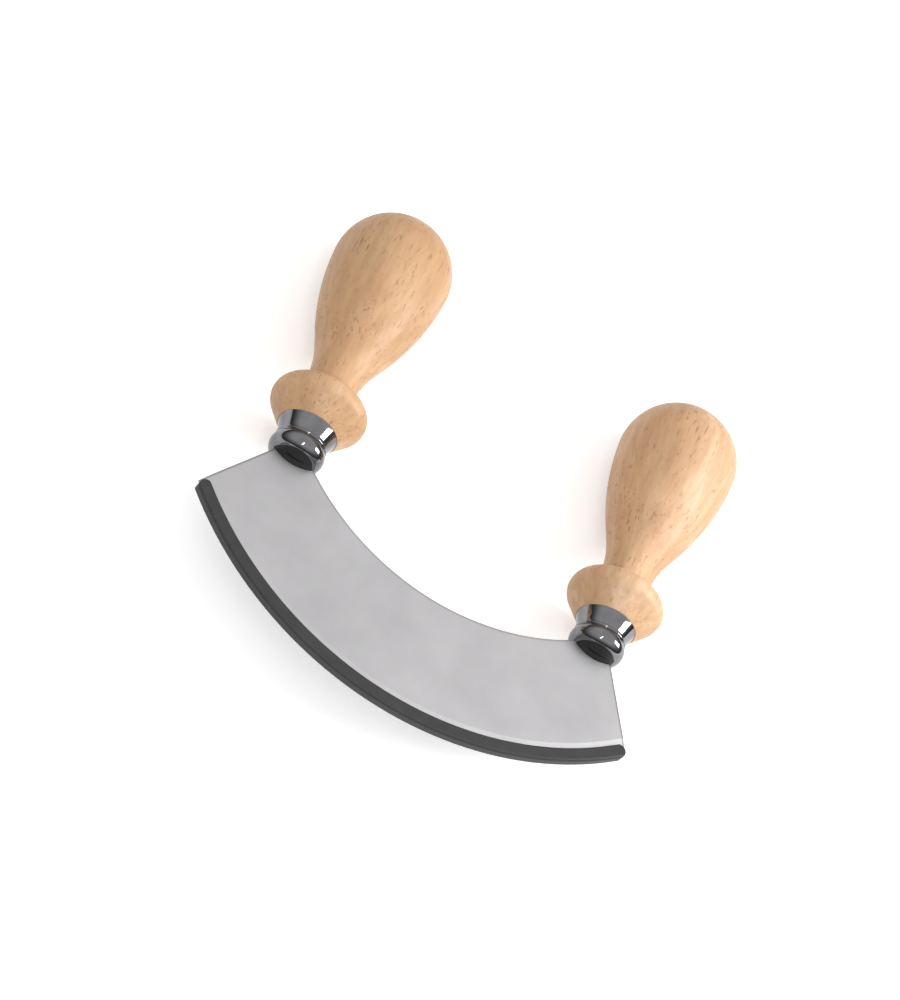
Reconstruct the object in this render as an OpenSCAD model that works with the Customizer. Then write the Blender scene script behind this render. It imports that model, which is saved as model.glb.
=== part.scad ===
// Mezzaluna: a curved chopping blade with two turned wooden handles.
// It lies on its side as photographed, in millimetres.
// X runs from handle to handle, +Y from the blade towards the handles, +Z out of the blade's face.
// The origin is under the middle of the part, at the height of the lowest wood.

/* [View] */

// Which sub-part to draw

/* [Blade] */

// Distance between the two handle axes
handle_spacing = 108; // [90:0.5:140]
// Radius of the cutting edge
edge_radius = 108.6; // [90:0.1:140]
// Depth of the blade from its shoulders to the cutting edge
blade_depth = 54.8; // [40:0.1:70]
// Depth of the concave upper edge below the shoulders
back_depth = 15.5; // [8:0.1:25]
// Width of each shoulder on the inner side of its handle axis
shoulder_in = 7.5; // [5:0.1:10]
// Width of each shoulder on the outer side of its handle axis
shoulder_out = 6; // [5:0.1:12]
// Lean of each end edge from the handle axis
end_lean = 32.3; // [10:0.1:45]
// Thickness of the steel sheet
blade_thick = 1.5; // [1:0.1:3]
// Height of the ground bevel above the cutting edge
bevel_height = 4.8; // [2:0.1:10]
// Thickness left at the guarded cutting edge
edge_flat = 0.3; // [0.1:0.05:0.6]

/* [Tangs] */

// Width of each tang
tang_width = 8.5; // [5:0.1:12]
// Thickness of each tang
tang_thick = 1.3; // [0.8:0.1:2]
// Length of each tang above the shoulder
tang_length = 34; // [15:0.5:50]
// How far each tang runs down into the plate below the dome
tang_root = 1; // [0.5:0.1:3]

/* [Edge guard] */

// Thickness of the guard across the blade
guard_thick = 3.8; // [3:0.1:6]
// Radial height of the guard
guard_height = 4.2; // [3:0.1:8]
// Wall left beyond the cutting edge
guard_web = 1.2; // [0.8:0.1:3]
// Rounding of the guard's outer corners
guard_round = 0.9; // [0.3:0.1:1.2]
// How far short of the blade's corner the guard's round end stops
guard_inset = 0.6; // [0:0.1:4]
// Clearance between the guard's slot and the blade
guard_clear = 0.12; // [0.05:0.01:0.3]

/* [Ferrules] */

// Largest radius of the lower bead
bead_radius = 8.85; // [7:0.05:11]
// Height of the lower bead
bead_height = 6.4; // [4:0.1:9]
// Radius of the open mouth
mouth_radius = 6.5; // [5:0.05:8]
// Width of the flat lip around the mouth
mouth_lip = 0.3; // [0.1:0.05:1]
// Radius of the neck between bead and cup
waist_radius = 7.95; // [7:0.05:9]
// Height of the thin raised ring above the bead
ring_height = 1; // [0.5:0.1:2]
// How far the thin ring stands out from the neck
ring_proud = 0.35; // [0.1:0.05:0.8]
// Radius of the cup's rim under the wood
cup_radius = 9.5; // [8:0.05:12]
// Height of the whole ferrule
ferrule_height = 11.6; // [9:0.1:16]
// Depth of the mouth's bore, up to the wooden tenon
mouth_depth = 4.6; // [2:0.1:6]

/* [Inserts] */

// How far the insert's domed face stands out of the mouth
dome_height = 1.9; // [0.5:0.1:3]
// Distance of each fine groove in the dome from the blade's middle
groove_offset = 3.2; // [2:0.1:5]
// Width of each groove
groove_width = 0.45; // [0.2:0.05:1]
// Depth of each groove
groove_depth = 0.5; // [0.2:0.1:1]
// Clearance around the insert and the tenon
seat_clear = 0.05; // [0.02:0.01:0.2]
// Clearance between a tang and its slots
tang_clear = 0.1; // [0.05:0.01:0.3]

/* [Handles] */

// Radius of the wooden tenon in the ferrule
tenon_radius = 6.9; // [5:0.1:7.4]
// Largest radius of the grip
grip_radius = 19; // [15:0.1:25]
// Distance from the ferrule's mouth to the top of the grip
handle_reach = 98.7; // [80:0.5:130]
// Angle below the widest point where the round cap ends
cap_angle = 1.9; // [0:0.1:20]
// Radius of the long belly curve
belly_radius = 91.7; // [40:0.5:200]
// Steepest lean of the grip's side
side_lean = 21; // [10:0.1:35]
// Radius of the grip at its neck
neck_radius = 8; // [6:0.1:12]
// Height of the neck's narrowest point above the mouth
neck_height = 30; // [26:0.1:40]
// Largest radius of the collar
collar_radius = 15.3; // [12:0.1:20]
// Radius of the collar's rounded rim
rim_round = 4.4; // [1:0.1:6]
// Height of the collar's rim above the mouth
rim_height = 20.6; // [15:0.1:28]
// Lean of the collar's underside from the handle axis
underside_lean = 38; // [10:1:50]
// Radius of the curve between collar and neck
cove_radius = 2.6; // [1:0.1:6]

/* [Hidden] */

$fn = 96;

// Room past a surface so that a cut goes right through
past = 1;
// Degrees between the points of a profile's arcs
arc_step = 6;

// Colours
steel_colour = [0.80, 0.80, 0.81];
chrome_colour = [0.62, 0.63, 0.65];
wood_colour = [0.82, 0.63, 0.45];
dark_colour = [0.10, 0.10, 0.11];
guard_colour = [0.22, 0.21, 0.23];

// Place of the part: its box is centred on X and Y and stands on Z = 0
axis_x = handle_spacing / 2;
edge_centre = edge_radius - blade_depth;
shoulder_half = axis_x + shoulder_out;
// The concave edge runs through the inner ends of the shoulders
back_half = axis_x - shoulder_in;
back_radius = (back_half * back_half + back_depth * back_depth) / (2 * back_depth);
back_centre = back_radius - back_depth;
guard_outer = edge_radius + guard_clear + guard_web;
guard_inner = guard_outer - guard_height;
middle_y = (handle_reach + edge_centre - guard_outer) / 2;
blade_z = grip_radius;

// Where an end edge meets a circle about the cutting edge's centre, as a height below the shoulders
end_run = tan(end_lean);
function corner_drop(r) =
    let(a = 1 + end_run * end_run,
        b = 2 * (shoulder_half * end_run + edge_centre),
        c = shoulder_half * shoulder_half + edge_centre * edge_centre - r * r)
    (sqrt(b * b - 4 * a * c) - b) / (2 * a);
corner_y = corner_drop(edge_radius);
corner_angle = atan2(shoulder_half + end_run * corner_y, edge_centre + corner_y);

// Half thickness of the ground bevel at a radius
bevel_start = edge_radius - bevel_height;
function bevel_half(r) =
    edge_flat / 2 + (blade_thick - edge_flat) / 2 * (edge_radius - r) / bevel_height;

// Guard: its rounded ends are centred on the band, short of the blade's corners
band_middle = guard_outer - guard_height / 2;
guard_angle = corner_angle - (guard_inset + guard_height / 2) * 180 / (PI * band_middle);

// Grip profile: cap, belly, straight side, neck curve, in radius and height
cap_centre = handle_reach - grip_radius;
belly_centre = [(grip_radius - belly_radius) * cos(cap_angle),
                cap_centre - (grip_radius - belly_radius) * sin(cap_angle)];
belly_end = belly_centre + belly_radius * [cos(side_lean), -sin(side_lean)];
// The straight side and the neck curve share what is left between the belly and the neck
fall_r = belly_end[0] - neck_radius;
fall_z = belly_end[1] - neck_height;
neck_curve = (fall_z * sin(side_lean) - fall_r * cos(side_lean)) / (1 - cos(side_lean));
neck_centre = [neck_radius + neck_curve, neck_height];

// Collar profile
rim_centre = [collar_radius - rim_round, rim_height];
cove_centre = [neck_radius + cove_radius, rim_height + rim_round + cove_radius];
underside_start = rim_centre + rim_round * [cos(underside_lean), -sin(underside_lean)];
seat_radius = cup_radius + 0.2;

// Insert: its domed face is an arc through the mouth's rim
insert_radius = mouth_radius - seat_clear;
dome_radius = (insert_radius * insert_radius + dome_height * dome_height) / (2 * dome_height);
dome_angle = asin(insert_radius / dome_radius);
// Height of a groove's floor above the lowest point of the dome
groove_floor = dome_radius - sqrt(dome_radius * dome_radius - groove_offset * groove_offset) + groove_depth;

// Points of an arc, in radius and height
function arc_points(c, r, from, to) =
    let(n = max(2, ceil(abs(to - from) / arc_step)))
    [for (i = [0:n]) c + r * [cos(from + (to - from) * i / n), sin(from + (to - from) * i / n)]];

// Moves a piece from the blade's own frame to its place in the part
module placed() {
    translate([0, -middle_y, blade_z]) children();
}

// Puts an upright turned piece on the left (-1) or right (1) handle axis
module on_axis(side) {
    placed() translate([side * axis_x, 0, 0]) rotate([-90, 0, 0]) children();
}

// Slot across an upright turned piece for a tang
module tang_slot(margin, from, to) {
    width = tang_width + 2 * margin;
    thick = tang_thick + 2 * tang_clear;
    translate([-width / 2, -thick / 2, from]) cube([width, thick, to - from]);
}

// Ring of the blade's section, from inside the concave edge out to the cutting edge
module bevelled_ring() {
    inner = back_radius / 2;
    half = blade_thick / 2;
    translate([0, edge_centre, 0])
        rotate_extrude()
            polygon([[inner, -half], [bevel_start, -half], [edge_radius, -edge_flat / 2],
                     [edge_radius, edge_flat / 2], [bevel_start, half], [inner, half]]);
}

// Outline of the blade seen from its face, without its cutting edge: each shoulder is hollowed for a dome
module blade_outline() {
    low = -edge_radius;
    reach = shoulder_half - end_run * low;
    difference() {
        polygon([[-shoulder_half, 0], [-reach, low], [reach, low], [shoulder_half, 0]]);
        translate([0, back_centre]) circle(r = back_radius);
        for (side = [-1, 1])
            translate([side * axis_x, dome_radius - dome_height]) circle(r = dome_radius + tang_clear);
    }
}

module blade() {
    color(steel_colour) placed() union() {
        intersection() {
            bevelled_ring();
            translate([0, 0, -blade_thick]) linear_extrude(2 * blade_thick) blade_outline();
        }
        for (side = [-1, 1])
            translate([side * axis_x - tang_width / 2, -dome_height - tang_root, -tang_thick / 2])
                cube([tang_width, dome_height + tang_root + tang_length, tang_thick]);
    }
}

// Half of the guard's section: a rounded channel with a slot that follows the bevel
module guard_section() {
    half = guard_thick / 2;
    lip = bevel_half(guard_inner) + guard_clear;
    floor_half = edge_flat / 2 + guard_clear;
    slot_floor = edge_radius + guard_clear;
    r = guard_round;
    polygon(concat(
        [[guard_inner, lip], [slot_floor, floor_half], [slot_floor, -floor_half], [guard_inner, -lip]],
        arc_points([guard_inner + r / 2, -half + r / 2], r / 2, 180, 270),
        arc_points([guard_outer - r, -half + r], r, 270, 360),
        arc_points([guard_outer - r, half - r], r, 0, 90),
        arc_points([guard_inner + r / 2, half - r / 2], r / 2, 90, 180)));
}

// Plan of the guard: a fan with a round end on each side
module guard_plan() {
    far = 2 * guard_outer;
    polygon([[0, 0], far * [-sin(guard_angle), -cos(guard_angle)], [0, -far],
             far * [sin(guard_angle), -cos(guard_angle)]]);
    for (side = [-1, 1])
        translate(band_middle * [side * sin(guard_angle), -cos(guard_angle)])
            circle(d = guard_height + guard_clear);
}

module edge_guard() {
    color(guard_colour) placed() translate([0, edge_centre, 0]) intersection() {
        rotate_extrude() guard_section();
        translate([0, 0, -guard_thick]) linear_extrude(2 * guard_thick) guard_plan();
    }
}

// One handle, upright on its ferrule: grip, neck, collar and tenon turned from one piece of wood
module handle() {
    difference() {
        rotate_extrude()
            polygon(concat(
                [[0, mouth_depth], [tenon_radius, mouth_depth], [tenon_radius, ferrule_height],
                 [seat_radius, ferrule_height]],
                arc_points(rim_centre, rim_round, -underside_lean, 90),
                arc_points(cove_centre, cove_radius, 270, 180),
                arc_points(neck_centre, neck_curve, 180, 180 - side_lean),
                arc_points(belly_centre, belly_radius, -side_lean, -cap_angle),
                arc_points([0, cap_centre], grip_radius, 0, 90)));
        tang_slot(tang_clear, mouth_depth - past, tang_length + tang_clear);
    }
}

// One ferrule, upright on its mouth: lower bead, thin ring, flared cup, open bore
module ferrule() {
    mid = bead_height / 2;
    // Bead as an arc through the lip, the widest point and the neck
    base_r = mouth_radius + mouth_lip;
    sag = bead_radius - base_r;
    bead_curve = (mid * mid + sag * sag) / (2 * sag);
    bead_centre = [bead_radius - bead_curve, mid];
    open_angle = asin(mid / bead_curve);
    top_angle = acos((waist_radius - bead_centre[0]) / bead_curve);
    waist = bead_centre[1] + bead_curve * sin(top_angle);
    ring_middle = waist + ring_height / 2;
    cup_start = waist + ring_height;
    tenon_bore = tenon_radius + seat_clear;
    rotate_extrude()
        polygon(concat(
            [[mouth_radius, 0]],
            arc_points(bead_centre, bead_curve, -open_angle, top_angle),
            [[waist_radius, waist + ring_height * 0.2],
             [waist_radius + ring_proud, ring_middle],
             [waist_radius, cup_start],
             [(waist_radius + cup_radius) / 2, (cup_start + ferrule_height) / 2 - 0.2],
             [cup_radius, ferrule_height],
             [tenon_bore, ferrule_height], [tenon_bore, mouth_depth],
             [mouth_radius, mouth_depth]]));
}

// One dark insert, upright in the mouth: domed face with two fine grooves, slotted for the tang
module insert() {
    difference() {
        rotate_extrude()
            polygon(concat([[0, mouth_depth]],
                           arc_points([0, dome_radius - dome_height], dome_radius, 270, 270 + dome_angle),
                           [[insert_radius, mouth_depth]]));
        tang_slot(tang_clear, -dome_height - past, mouth_depth + past);
        for (side = [-1, 1])
            translate([-mouth_radius, side * groove_offset - groove_width / 2, -dome_height - past])
                cube([2 * mouth_radius, groove_width, groove_floor + past]);
    }
}

module left_handle() {
    color(wood_colour) on_axis(-1) handle();
}

module right_handle() {
    color(wood_colour) on_axis(1) handle();
}

module left_ferrule() {
    color(chrome_colour) on_axis(-1) ferrule();
}

module right_ferrule() {
    color(chrome_colour) on_axis(1) ferrule();
}

module left_insert() {
    color(dark_colour) on_axis(-1) insert();
}

module right_insert() {
    color(dark_colour) on_axis(1) insert();
}

blade();
edge_guard();
left_handle();
right_handle();
left_ferrule();
right_ferrule();
left_insert();
right_insert();
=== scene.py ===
"""Mezzaluna on a pale floor, lying on its side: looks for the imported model.

Metres, in the part's own frame. Driving sizes are written in millimetres.
"""
import math

import bmesh
import bpy
from mathutils import Matrix, Vector


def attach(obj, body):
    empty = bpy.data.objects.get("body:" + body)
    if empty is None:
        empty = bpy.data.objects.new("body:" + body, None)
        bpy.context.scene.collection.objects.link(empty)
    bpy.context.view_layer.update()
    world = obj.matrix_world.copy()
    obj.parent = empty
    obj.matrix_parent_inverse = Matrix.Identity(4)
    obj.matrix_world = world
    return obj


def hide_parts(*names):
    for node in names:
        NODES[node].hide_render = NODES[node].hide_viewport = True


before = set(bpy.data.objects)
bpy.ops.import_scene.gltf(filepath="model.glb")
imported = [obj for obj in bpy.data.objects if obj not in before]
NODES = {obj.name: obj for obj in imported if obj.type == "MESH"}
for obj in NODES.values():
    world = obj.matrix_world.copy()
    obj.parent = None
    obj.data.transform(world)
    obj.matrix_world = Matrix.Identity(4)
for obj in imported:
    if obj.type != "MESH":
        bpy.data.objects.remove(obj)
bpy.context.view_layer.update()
MM = 0.001

# Driving sizes, in millimetres
HANDLE_SPACING = 108.0
GRIP_RADIUS = 19.0
HANDLE_REACH = 98.7
CAP_ANGLE = 1.9
BELLY_RADIUS = 91.7
SIDE_LEAN = 21.0
NECK_RADIUS = 8.0
NECK_HEIGHT = 30.0
COLLAR_RADIUS = 15.3
RIM_ROUND = 4.4
RIM_HEIGHT = 20.6
UNDERSIDE_LEAN = 38.0
COVE_RADIUS = 2.6
TENON_RADIUS = 6.9
SEAT_RADIUS = 9.7

# Clearance between the wooden tenon and the ferrule
SEAT_CLEAR = 0.05

FERRULE_HEIGHT = 11.6
MOUTH_RADIUS = 6.5
MOUTH_DEPTH = 4.6
MOUTH_LIP = 0.3
BEAD_RADIUS = 8.85
BEAD_HEIGHT = 6.4
WAIST_RADIUS = 7.95
RING_HEIGHT = 1.0
RING_PROUD = 0.35
CUP_RADIUS = 9.5

EDGE_RADIUS = 108.6
BLADE_DEPTH = 54.8
EDGE_CENTRE = EDGE_RADIUS - BLADE_DEPTH
# The guard's clearance and wall beyond the cutting edge
GUARD_CLEAR = 0.12
GUARD_WEB = 1.2
GUARD_OUTER = EDGE_RADIUS + GUARD_CLEAR + GUARD_WEB

END_LEAN = 32.3
SHOULDER_OUT = 6.0
SHOULDER_IN = 7.5
SHOULDER_HALF = HANDLE_SPACING / 2 + SHOULDER_OUT
BACK_DEPTH = 15.5
BACK_RADIUS = ((HANDLE_SPACING / 2 - SHOULDER_IN) ** 2 + BACK_DEPTH ** 2) / (2 * BACK_DEPTH)
BACK_CENTRE = BACK_RADIUS - BACK_DEPTH
# Width of the painted shade line along the blade's trimmed edges, a dark line standing in for the shade
# on the rounded edges
EDGE_SHADE_WIDTH = 0.75

# Place of the part's own zero, the middle of the blade's shoulders
MIDDLE_Y = (HANDLE_REACH + EDGE_CENTRE - GUARD_OUTER) / 2
BLADE_Z = GRIP_RADIUS

# Camera, from the photograph's view
CAMERA_PLACE = Vector((-0.1725, -0.5695 - MIDDLE_Y * MM, 0.7929 + BLADE_Z * MM))
CAMERA_RIGHT = Vector((0.8267, 0.3546, 0.4369))
CAMERA_DOWN = Vector((0.5376, -0.7271, -0.4270))
CAMERA_LENS = 120.0

# Glow that keeps the floor white in view
FLOOR_GLOW = 0.42
FLOOR_HALF = 4.0

# Brightness of the studio near the horizon and overhead
SKY_LOW = 0.12
SKY_HIGH = 0.95


# Shape helpers
def arc(centre, radius, start, end, step=2.0):
    """Points of an arc in (radius, height), in millimetres and degrees."""
    n = max(2, math.ceil(abs(end - start) / step))
    angles = [math.radians(start + (end - start) * i / n) for i in range(n + 1)]
    return [(centre[0] + radius * math.cos(a), centre[1] + radius * math.sin(a)) for a in angles]


def lathe(name, profile, side, segments=160, closed=False):
    """Turns a profile about the left (-1) or right (1) handle axis."""
    bm = bmesh.new()
    rings = []
    for r, h in profile:
        y = (h - MIDDLE_Y) * MM
        if r < 1e-6:
            rings.append([bm.verts.new((side * HANDLE_SPACING / 2 * MM, y, BLADE_Z * MM))])
            continue
        ring = []
        for i in range(segments):
            a = 2 * math.pi * i / segments
            ring.append(bm.verts.new(((side * HANDLE_SPACING / 2 + r * math.cos(a)) * MM, y,
                                      (BLADE_Z + r * math.sin(a)) * MM)))
        rings.append(ring)
    pairs = list(zip(rings, rings[1:]))
    if closed:
        pairs.append((rings[-1], rings[0]))
    for low, high in pairs:
        for i in range(segments):
            j = (i + 1) % segments
            corners = []
            for v in (low[i % len(low)], low[j % len(low)], high[j % len(high)], high[i % len(high)]):
                if v not in corners:
                    corners.append(v)
            if len(corners) > 2:
                bm.faces.new(corners)
    bmesh.ops.recalc_face_normals(bm, faces=bm.faces)
    return add_mesh(name, bm)


def add_mesh(name, bm):
    """Makes a smooth-shaded object from a bmesh."""
    mesh = bpy.data.meshes.new(name)
    bm.to_mesh(mesh)
    bm.free()
    for face in mesh.polygons:
        face.use_smooth = True
    piece = bpy.data.objects.new(name, mesh)
    bpy.context.scene.collection.objects.link(piece)
    return piece


def crisp(piece, angle=30.0):
    """Keeps edges sharper than the angle crisp under smooth shading."""
    piece.data.polygons.foreach_set("use_smooth", [True] * len(piece.data.polygons))
    split = piece.modifiers.new("crisp", "EDGE_SPLIT")
    split.split_angle = math.radians(angle)


# Material helpers
class Nodes:
    """Short way to build a node material."""

    def __init__(self, name):
        self.material = bpy.data.materials.new(name)
        self.material.use_nodes = True
        self.tree = self.material.node_tree
        self.shader = self.tree.nodes["Principled BSDF"]

    def add(self, kind, inputs=None, **settings):
        node = self.tree.nodes.new(kind)
        for key, value in settings.items():
            setattr(node, key, value)
        for key, value in (inputs or {}).items():
            self.put(node, key, value)
        return node

    def put(self, node, key, value):
        if isinstance(value, bpy.types.NodeSocket):
            self.tree.links.new(value, node.inputs[key])
        else:
            node.inputs[key].default_value = value

    def place(self, scale=(1, 1, 1), shift=(0, 0, 0)):
        coords = self.add("ShaderNodeTexCoord").outputs["Object"]
        return self.add("ShaderNodeMapping", {"Vector": coords, "Scale": scale,
                                              "Location": shift}).outputs["Vector"]

    def noise(self, vector, scale, detail=3.0, rough=0.55, distort=0.0):
        return self.add("ShaderNodeTexNoise", {"Vector": vector, "Scale": scale, "Detail": detail,
                                               "Roughness": rough, "Distortion": distort}
                        ).outputs["Fac"]

    def maths(self, kind, vector, other=(0.0, 0.0, 0.0), output="Vector"):
        node = self.add("ShaderNodeVectorMath", {0: vector}, operation=kind)
        if kind not in ("ABSOLUTE", "LENGTH"):
            self.put(node, 1, other)
        return node.outputs[output]

    def back_depth(self):
        """Distance into the blade from its concave edge."""
        place = self.place(scale=(1.0, 1.0, 0.0), shift=(0.0, (MIDDLE_Y - BACK_CENTRE) * MM, 0.0))
        reach = self.maths("LENGTH", place, output="Value")
        return self.add("ShaderNodeMath", {0: reach, 1: BACK_RADIUS * MM},
                        operation="SUBTRACT").outputs[0]

    def end_depth(self):
        """Distance into the blade from the nearer of its two end edges."""
        lean = math.radians(END_LEAN)
        place = self.maths("ABSOLUTE", self.place(scale=(1.0, 1.0, 0.0), shift=(0.0, MIDDLE_Y * MM, 0.0)))
        across = self.maths("DOT_PRODUCT", place, (-math.cos(lean), math.sin(lean), 0.0), "Value")
        return self.add("ShaderNodeMath", {0: across, 1: SHOULDER_HALF * math.cos(lean) * MM},
                        operation="ADD").outputs[0]

    def ramp(self, fac, *stops):
        node = self.add("ShaderNodeValToRGB", {"Fac": fac})
        band = node.color_ramp
        while len(band.elements) < len(stops):
            band.elements.new(0.5)
        for element, (place, colour) in zip(band.elements, stops):
            element.position = place
            element.color = (*colour, 1.0) if len(colour) == 3 else colour
        return node.outputs["Color"]

    def blend(self, fac, a, b, kind="MIX"):
        node = self.add("ShaderNodeMix", data_type="RGBA", blend_type=kind)
        for socket, value in ((node.inputs[0], fac), (node.inputs[6], a), (node.inputs[7], b)):
            if isinstance(value, bpy.types.NodeSocket):
                self.tree.links.new(value, socket)
            elif isinstance(value, tuple):
                socket.default_value = (*value, 1.0)
            else:
                socket.default_value = value
        return node.outputs[2]

    def spread(self, value, low, high, from_low=0.0, from_high=1.0):
        return self.add("ShaderNodeMapRange", {"Value": value, "From Min": from_low,
                                               "From Max": from_high, "To Min": low,
                                               "To Max": high}).outputs["Result"]

    def bump(self, height, strength, distance):
        node = self.add("ShaderNodeBump", {"Height": height, "Strength": strength,
                                           "Distance": distance * MM})
        return node.outputs["Normal"]

    def finish(self, **inputs):
        for key, value in inputs.items():
            name = key.replace("_", " ")
            if isinstance(value, tuple):
                value = (*value, 1.0)
            self.put(self.shader, name, value)
        return self.material


def grey(level):
    """Neutral colour of one level."""
    return (level, level, level)


def beech(name, shift):
    """Oiled beech: warm cream wood, short dark flecks and faint long grain along the handle."""
    m = Nodes(name)
    place = m.place(shift=shift)
    along = m.place(scale=(1.0, 0.12, 1.0), shift=shift)
    fleck_place = m.place(scale=(1.0, 0.2, 1.0), shift=shift)
    broad = m.noise(along, 60.0, 2.0)
    fine = m.noise(along, 420.0, 3.0)
    base = m.ramp(broad, (0.30, (0.58, 0.335, 0.17)), (0.52, (0.70, 0.44, 0.245)),
                  (0.75, (0.83, 0.575, 0.37)))
    base = m.blend(m.spread(m.noise(place, 45.0, 3.0), 0.0, 0.4, 0.42, 0.68), base, (0.62, 0.345, 0.18))
    grain = m.blend(m.spread(fine, 0.0, 0.55, 0.35, 0.75), base, (0.46, 0.235, 0.11))
    flecks = m.noise(fleck_place, 1350.0, 1.0)
    patch = m.noise(place, 90.0, 2.0)
    mask = m.spread(flecks, 0.0, 1.0, 0.60, 0.71)
    mask = m.add("ShaderNodeMath", {0: mask, 1: m.spread(patch, 0.15, 1.0, 0.35, 0.65)},
                 operation="MULTIPLY").outputs[0]
    colour = m.blend(m.add("ShaderNodeMath", {0: mask, 1: 0.7}, operation="MULTIPLY").outputs[0],
                     grain, (0.26, 0.115, 0.055))
    rough = m.spread(fine, 0.42, 0.58)
    bump = m.bump(m.blend(0.5, flecks, fine), 0.12, 0.25)
    return m.finish(Base_Color=colour, Roughness=rough, Normal=bump)


def satin_steel():
    """Satin blade steel: grey with a soft cloudy mottle, fine rubbing marks and a painted shade line
    along the trimmed edges.
    """
    m = Nodes("satin_steel")
    place = m.place()
    cloud = m.noise(place, 55.0, 4.0, 0.6)
    rub = m.noise(m.place(scale=(1.0, 0.05, 1.0)), 2600.0, 2.0)
    colour = m.ramp(cloud, (0.3, (0.505, 0.495, 0.505)), (0.7, (0.565, 0.555, 0.565)))
    # Painted shade: a thin dark line along the concave back and the two end edges, where the rounded
    # edges turn dark
    for depth, strength in ((m.back_depth(), 0.5), (m.end_depth(), 0.75)):
        colour = m.blend(m.spread(depth, strength, 0.0, 0.15 * MM, EDGE_SHADE_WIDTH * MM), colour, grey(0.16))
    rough = m.spread(m.blend(0.4, cloud, rub), 0.40, 0.52)
    bump = m.bump(rub, 0.04, 0.02)
    return m.finish(Base_Color=colour, Metallic=1.0, Roughness=rough, Normal=bump)


def polished_plate():
    """Bright plating with faint turning lines and smudges."""
    m = Nodes("polished_plate")
    turning = m.noise(m.place(scale=(0.02, 1.0, 0.02)), 2500.0, 2.0)
    smudge = m.noise(m.place(), 260.0, 4.0)
    rough = m.spread(smudge, 0.05, 0.12)
    colour = m.ramp(smudge, (0.3, (0.17, 0.17, 0.18)), (0.7, (0.23, 0.23, 0.24)))
    return m.finish(Base_Color=colour, Metallic=1.0, Roughness=rough,
                    Normal=m.bump(turning, 0.05, 0.02))


def dark_plastic(name, low, high, rough_low, rough_high):
    """Moulded plastic with a fine grain and slight scuffing."""
    m = Nodes(name)
    grain = m.noise(m.place(), 2400.0, 2.0)
    scuff = m.noise(m.place(), 220.0, 4.0)
    colour = m.ramp(scuff, (0.35, grey(low)), (0.7, grey(high)))
    return m.finish(Base_Color=colour, Roughness=m.spread(scuff, rough_low, rough_high),
                    Normal=m.bump(grain, 0.12, 0.04))


# Pieces
def handle_profile():
    """Outside of the wood from the ferrule's rim to the top of the grip."""
    lean, cap = math.radians(SIDE_LEAN), math.radians(CAP_ANGLE)
    cap_centre = HANDLE_REACH - GRIP_RADIUS
    offset = GRIP_RADIUS - BELLY_RADIUS
    belly = (offset * math.cos(cap), cap_centre - offset * math.sin(cap))
    end = (belly[0] + BELLY_RADIUS * math.cos(lean), belly[1] - BELLY_RADIUS * math.sin(lean))
    fall_r, fall_z = end[0] - NECK_RADIUS, end[1] - NECK_HEIGHT
    curve = (fall_z * math.sin(lean) - fall_r * math.cos(lean)) / (1 - math.cos(lean))
    rim = (COLLAR_RADIUS - RIM_ROUND, RIM_HEIGHT)
    cove = (NECK_RADIUS + COVE_RADIUS, RIM_HEIGHT + RIM_ROUND + COVE_RADIUS)
    return ([(0.0, MOUTH_DEPTH), (TENON_RADIUS, MOUTH_DEPTH), (TENON_RADIUS, FERRULE_HEIGHT),
             (SEAT_RADIUS, FERRULE_HEIGHT)]
            + arc(rim, RIM_ROUND, -UNDERSIDE_LEAN, 90, 6)
            + arc(cove, COVE_RADIUS, 270, 180, 6)
            + arc((NECK_RADIUS + curve, NECK_HEIGHT), curve, 180, 180 - SIDE_LEAN)
            + arc(belly, BELLY_RADIUS, -SIDE_LEAN, -CAP_ANGLE)
            + arc((0.0, cap_centre), GRIP_RADIUS, 0, 89.5, 3) + [(0.0, HANDLE_REACH)])


def build_handle(side, node, material):
    """Turned wood of one handle, in place of its node."""
    piece = lathe(node + "_wood", handle_profile(), side)
    crisp(piece, 50.0)
    piece.data.materials.append(material)
    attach(piece, "mezzaluna")
    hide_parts(node)
    return piece


def ferrule_profile():
    """Closed section of a ferrule: mouth, bead, thin ring, flared cup and bore."""
    mid = BEAD_HEIGHT / 2
    base_r = MOUTH_RADIUS + MOUTH_LIP
    sag = BEAD_RADIUS - base_r
    curve = (mid * mid + sag * sag) / (2 * sag)
    centre = (BEAD_RADIUS - curve, mid)
    open_angle = math.degrees(math.asin(mid / curve))
    top_angle = math.degrees(math.acos((WAIST_RADIUS - centre[0]) / curve))
    waist = mid + curve * math.sin(math.radians(top_angle))
    ring = (WAIST_RADIUS + RING_PROUD - RING_HEIGHT / 2, waist + RING_HEIGHT / 2)
    start = waist + RING_HEIGHT
    bore = TENON_RADIUS + SEAT_CLEAR
    cup = []
    for i in range(1, 13):
        t = i / 12
        cup.append((WAIST_RADIUS + (CUP_RADIUS - WAIST_RADIUS) * t ** 1.4,
                    start + (FERRULE_HEIGHT - start) * t))
    return ([(MOUTH_RADIUS, 0.0), (base_r, 0.0)] + arc(centre, curve, -open_angle, top_angle, 5)
            + arc(ring, RING_HEIGHT / 2, -70, 70, 20) + cup
            + [(bore, FERRULE_HEIGHT), (bore, MOUTH_DEPTH), (MOUTH_RADIUS, MOUTH_DEPTH)])


def build_ferrule(side, node, material):
    """Plated ferrule of one handle, in place of its node."""
    piece = lathe(node + "_plate", ferrule_profile(), side, closed=True)
    crisp(piece, 40.0)
    piece.data.materials.append(material)
    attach(piece, "mezzaluna")
    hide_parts(node)
    return piece


def dress_cad(node, material, angle=25.0):
    """Gives a node carried over from the part its material and crisp edges."""
    piece = NODES[node]
    piece.data.materials.clear()
    piece.data.materials.append(material)
    crisp(piece, angle)


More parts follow.
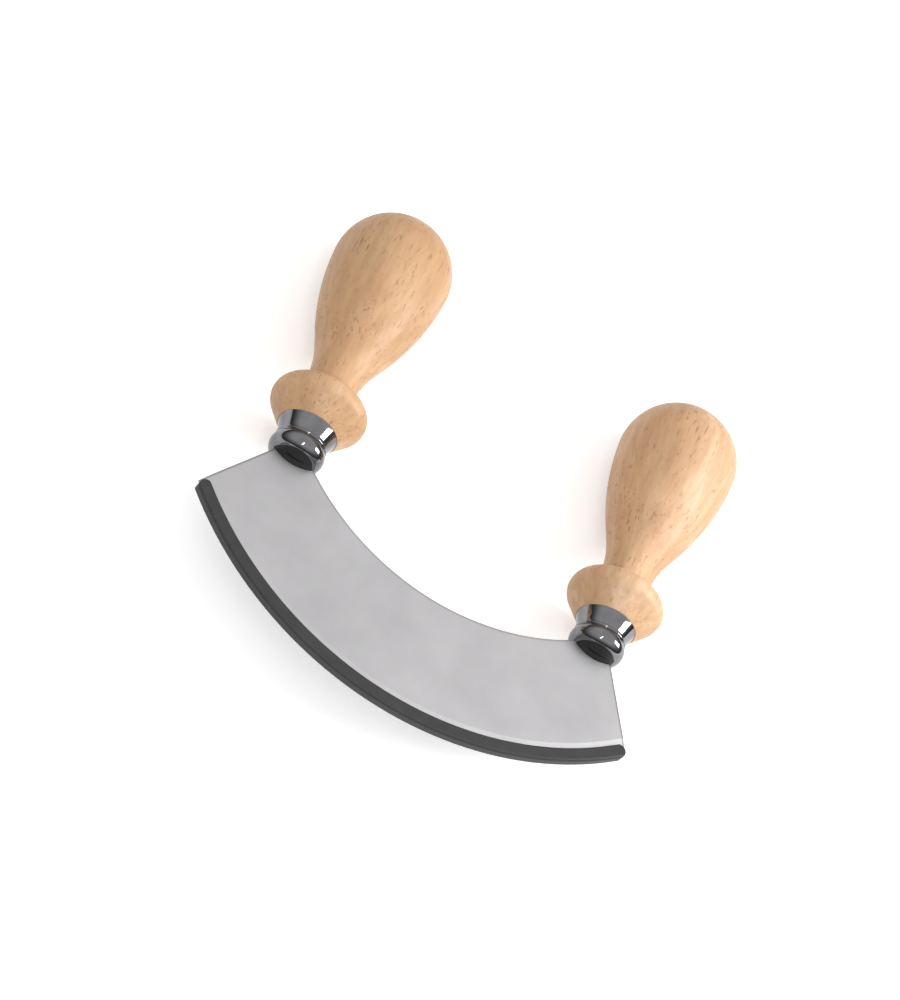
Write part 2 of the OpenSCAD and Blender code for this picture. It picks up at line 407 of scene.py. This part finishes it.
# Surroundings
def floor_material():
    """Pale floor that stays white in view and keeps the object's soft shadow."""
    m = Nodes("pale_floor")
    path = m.add("ShaderNodeLightPath")
    seen = m.add("ShaderNodeMath", {0: path.outputs["Is Camera Ray"],
                                    1: path.outputs["Is Glossy Ray"]}, operation="MAXIMUM")
    seen = m.add("ShaderNodeMath", {0: seen.outputs[0], 1: path.outputs["Is Transmission Ray"]},
                 operation="MAXIMUM")
    glow = m.add("ShaderNodeMath", {0: seen.outputs[0], 1: FLOOR_GLOW}, operation="MULTIPLY")
    grain = m.noise(m.place(), 30.0, 2.0)
    m.finish(Base_Color=m.ramp(grain, (0.3, grey(0.80)), (0.7, grey(0.82))), Roughness=0.9,
             Emission_Color=(1.0, 1.0, 1.0))
    m.put(m.shader, "Emission Strength", glow.outputs[0])
    return m.material


def build_floor():
    """Wide pale floor under the part."""
    bm = bmesh.new()
    bm.faces.new([bm.verts.new((x * FLOOR_HALF, y * FLOOR_HALF, 0.0))
                  for x, y in ((-1, -1), (1, -1), (1, 1), (-1, 1))])
    floor = add_mesh("floor", bm)
    floor.data.materials.append(floor_material())


def build_world():
    """Bright overhead and darker towards the horizon, as in a studio; plain white to the camera."""
    world = bpy.data.worlds.new("studio")
    world.use_nodes = True
    tree = world.node_tree
    back = tree.nodes["Background"]
    path = tree.nodes.new("ShaderNodeLightPath")
    coords = tree.nodes.new("ShaderNodeTexCoord")
    split = tree.nodes.new("ShaderNodeSeparateXYZ")
    height = tree.nodes.new("ShaderNodeMapRange")
    height.interpolation_type = "SMOOTHSTEP"
    pick = tree.nodes.new("ShaderNodeMix")
    tree.links.new(coords.outputs["Generated"], split.inputs[0])
    tree.links.new(split.outputs["Z"], height.inputs["Value"])
    for key, value in (("From Min", 0.1), ("From Max", 0.75), ("To Min", SKY_LOW), ("To Max", SKY_HIGH)):
        height.inputs[key].default_value = value
    tree.links.new(path.outputs["Is Camera Ray"], pick.inputs[0])
    tree.links.new(height.outputs["Result"], pick.inputs[2])
    pick.inputs[3].default_value = 1.0
    tree.links.new(pick.outputs[0], back.inputs["Strength"])
    back.inputs["Color"].default_value = (1.0, 1.0, 1.0, 1.0)
    bpy.context.scene.world = world


def add_light(name, place, aim, size, power):
    """Rectangular lamp at a place, aimed at a point."""
    light = bpy.data.lights.new(name, "AREA")
    light.shape = "RECTANGLE"
    light.size, light.size_y = size
    light.energy = power
    lamp = bpy.data.objects.new(name, light)
    lamp.location = place
    lamp.rotation_euler = (Vector(aim) - Vector(place)).to_track_quat("-Z", "Y").to_euler()
    bpy.context.scene.collection.objects.link(lamp)


def build_lights():
    """A soft key from the right, and a small strip in front that draws glints on the plating."""
    add_light("key", (0.75, 0.15, 0.50), (0.0, 0.02, 0.02), (0.35, 0.35), 6.5)
    add_light("streak", (-0.05, -0.45, 0.70), (0.0, 0.02, 0.02), (0.04, 0.40), 0.9)


def build_camera():
    """Camera in the place and turn that match the photograph's view."""
    camera = bpy.data.objects.new("camera", bpy.data.cameras.new("camera"))
    camera.data.lens = CAMERA_LENS
    camera.data.clip_start = 0.01
    forward = CAMERA_RIGHT.cross(-CAMERA_DOWN) * -1
    columns = (CAMERA_RIGHT, -CAMERA_DOWN, -forward)
    turn = Matrix([[c[i] for c in columns] for i in range(3)]).to_4x4()
    camera.matrix_world = Matrix.Translation(CAMERA_PLACE) @ turn
    bpy.context.scene.collection.objects.link(camera)
    bpy.context.scene.camera = camera


# The scene
build_camera()
build_world()
build_lights()
build_floor()
plate = polished_plate()
for side, word, shift in ((-1, "left", (0.0, 0.0, 0.0)), (1, "right", (0.37, 0.21, 0.13))):
    build_handle(side, word + "_handle", beech(word + "_beech", shift))
    build_ferrule(side, word + "_ferrule", plate)
# Near-black matte disc filling each ferrule's mouth: painted shade standing in for the shaded hollow
# inside the mouth
mouth_shade_black = dark_plastic("mouth_shade_black", 0.008, 0.014, 0.45, 0.6)
for node in ("left_insert", "right_insert"):
    dress_cad(node, mouth_shade_black)
dress_cad("blade", satin_steel())
dress_cad("edge_guard", dark_plastic("guard_plastic", 0.022, 0.032, 0.5, 0.62), 35.0)
bpy.context.scene.view_settings.view_transform = "Standard"
